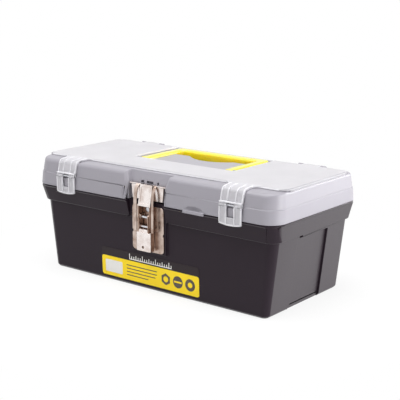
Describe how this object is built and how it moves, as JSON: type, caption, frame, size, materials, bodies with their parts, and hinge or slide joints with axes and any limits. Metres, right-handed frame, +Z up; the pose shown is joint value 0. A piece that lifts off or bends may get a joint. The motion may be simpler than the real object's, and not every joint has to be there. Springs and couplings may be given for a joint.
{
  "type": "plastic tool box",
  "caption": "Small plastic tool box: dark body, hinged grey organizer lid under a clear clip-down cover, folding yellow carry handle in the top, steel draw latch on the front.",
  "frame": {"origin": "middle of the flat bottom that the box stands on", "axes": "+X along the front to the right, front faces -Y, +Z up"},
  "size_m": [0.32, 0.1656, 0.1268],
  "materials": {
    "charcoal_plastic": "fine moulded texture",
    "grey_plastic": "fine moulded texture",
    "frosted_plastic": "frosted translucent",
    "yellow_plastic": "satin moulded",
    "nickel_plate": "bright nickel plate",
    "pin_steel": "drawn wire",
    "label_vinyl": "printed film"
  },
  "bodies": {
    "body": {"body_tub": "charcoal_plastic", "label_sticker": "label_vinyl", "lid_hinge_pin_left": "pin_steel", "lid_hinge_pin_right": "pin_steel", "latch_base": "nickel_plate", "latch_rivets": "pin_steel", "latch_pivot_pin": "pin_steel"},
    "lid": {"lid_shell": "grey_plastic", "cover_hinge_pin_left": "pin_steel", "cover_hinge_pin_right": "pin_steel", "handle_pin_left": "pin_steel", "handle_pin_right": "pin_steel"},
    "cover": {"organizer_cover": "frosted_plastic", "clip_pin_left": "pin_steel", "clip_pin_right": "pin_steel"},
    "left_clip": {"clip_left": "frosted_plastic"},
    "right_clip": {"clip_right": "frosted_plastic"},
    "handle": {"carry_handle": "yellow_plastic"},
    "lever": {"latch_lever": "nickel_plate", "latch_link_pin": "pin_steel"},
    "hook": {"latch_hook": "nickel_plate"}
  },
  "joints": [
    {"name": "lid_hinge", "type": "hinge", "parent": "body", "child": "lid", "pos_m": [0, 0.082, 0.094], "axis": [-1, 0, 0], "range_deg": [0, 105]},
    {"name": "cover_hinge", "type": "hinge", "parent": "lid", "child": "cover", "pos_m": [0, 0.0635, 0.124], "axis": [-1, 0, 0], "range_deg": [0, 110]},
    {"name": "left_clip_hinge", "type": "hinge", "parent": "cover", "child": "left_clip", "pos_m": [-0.11, -0.0778, 0.1091], "axis": [-1, 0, 0], "range_deg": [0, 90]},
    {"name": "right_clip_hinge", "type": "hinge", "parent": "cover", "child": "right_clip", "pos_m": [0.11, -0.0778, 0.1091], "axis": [-1, 0, 0], "range_deg": [0, 90]},
    {"name": "handle_hinge", "type": "hinge", "parent": "lid", "child": "handle", "pos_m": [0, -0.0102, 0.1219], "axis": [1, 0, 0], "range_deg": [0, 90]},
    {"name": "lever_pivot", "type": "hinge", "parent": "body", "child": "lever", "pos_m": [0, -0.0745, 0.08], "axis": [-1, 0, 0], "range_deg": [0, 110]},
    {"name": "hook_link", "type": "hinge", "parent": "lever", "child": "hook", "pos_m": [0, -0.0745, 0.07], "axis": [-1, 0, 0], "range_deg": [-110, 0]}
  ],
  "couplings": [
    {"joint": "hook_link", "follows": "lever_pivot", "ratio": -1}
  ]
}
